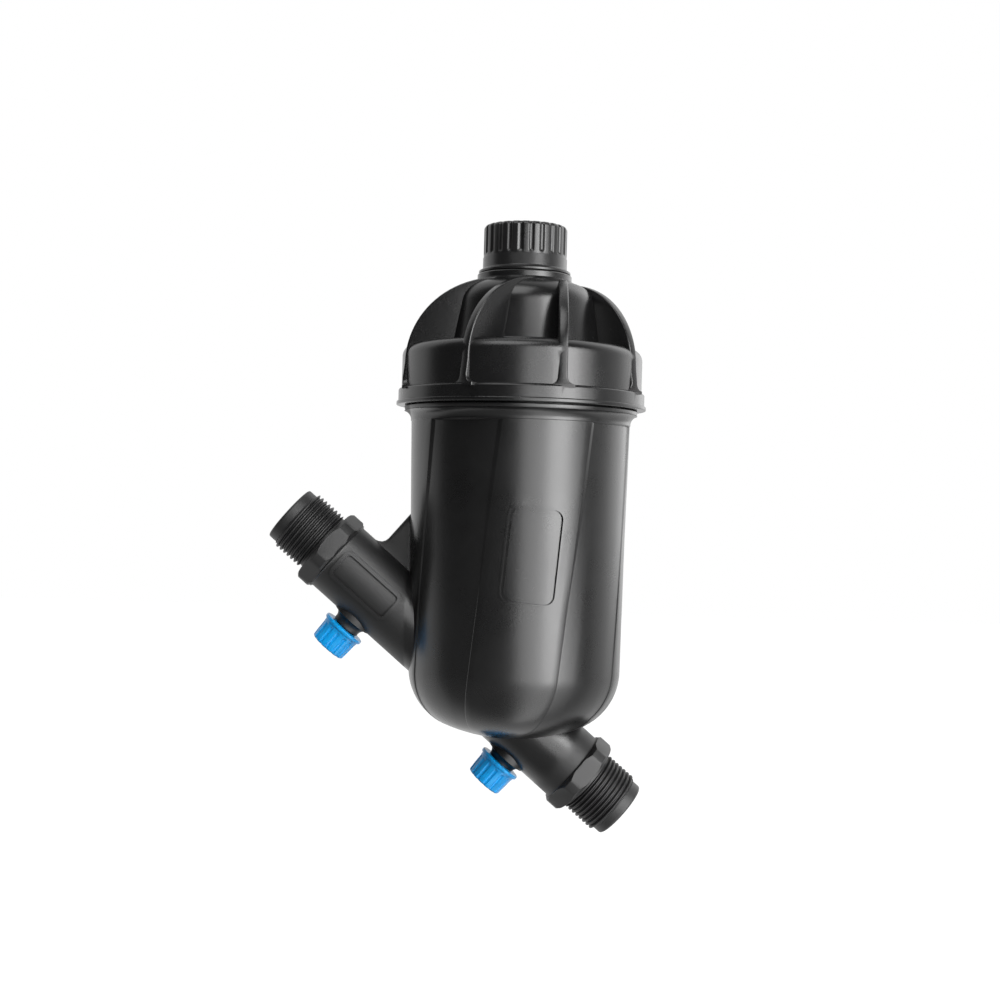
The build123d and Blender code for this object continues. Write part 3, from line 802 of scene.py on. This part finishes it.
soft_light("key_light", azimuth=41, distance=1.2, width=0.5, tall=1.8, power=21)
reflector = soft_light("reflector", azimuth=34, distance=1.3, width=1.7, tall=1.8, power=38)
reflector.visible_diffuse = False
soft_light("top_light", azimuth=-20, distance=0.7, width=0.9, tall=0.9, power=9, height=1.3)


class Surround(Tree):
    """The world's node tree."""

    def __init__(self, name):
        self.world = bpy.data.worlds.new(name)
        self.world.use_nodes = True
        self.tree = self.world.node_tree
        self.surface = self.tree.nodes["Background"]


def ray(owner, *kinds):
    """1 for the kinds of ray that are named, 0 for the others."""
    return sum((owner.node("ShaderNodeLightPath", output=f"Is {kind} Ray") for kind in kinds), 0.0)


def grey(level):
    return (level, level, level, 1)


room = Surround("surround")
across, away = room.parts(room.node("ShaderNodeTexCoord", output="Generated"), "XY")
behind = room.soft_step(away * (1.6 - 0.6 * across) + 0.25 * across, -0.15, 0.4)
right_back = room.soft_step(away, 0.15, 0.5) * room.soft_step(across, 0.2, 0.6)
mirrored = room.mix(right_back, room.mix(behind, grey(0.05), grey(1)), grey(2.2))
shown = room.mix(ray(room, "Glossy"), grey(1), mirrored)
room.tree.links.new(shown.socket, room.surface.inputs["Color"])
strength = 0.35 + 0.65 * ray(room, "Camera", "Glossy", "Transmission")
room.tree.links.new(strength.socket, room.surface.inputs["Strength"])
scene.world = room.world

floor_z, floor_reach = cad_box[0][2] - 0.20, 4
corners = ((-1, -1), (1, -1), (1, 1), (-1, 1))
ground = solid("floor", [(x * floor_reach, y * floor_reach, floor_z) for x, y in corners], [(0, 1, 2, 3)])
floor_paint = Paint("floor_paint", Roughness=0.9, Base_Color=grey(0.22), Emission_Strength=1.0)
across, away = floor_paint.parts(floor_paint.place(), "XY")
# The floor glows only towards glossy rays: a painted pool of the key light, in a wedge from the bowl
# towards the lamp, three times as bright as white.
heading = (across - bowl_x).maths("ARCTAN2", 0.0 - away)
off_light = (heading - radians(34)).maths("ABSOLUTE")
painted_key_pool = floor_paint.soft_step(off_light, radians(40), radians(8))
# Painted shade on the floor in front of the bowl and painted light behind it, seen only in reflections.
painted_front_shade = floor_paint.mix(floor_paint.soft_step(away, -0.12, 0.1), grey(0.15), grey(0.95))
mirrored = floor_paint.mix(painted_key_pool, painted_front_shade, grey(3.2))
shown = floor_paint.mix(ray(floor_paint, "Camera", "Transmission"), grey(0), grey(0.92))
floor_paint.feed("Emission Color", floor_paint.mix(ray(floor_paint, "Glossy"), shown, mirrored))
ground.data.materials.append(floor_paint.material)
scene.view_settings.view_transform = "Standard"
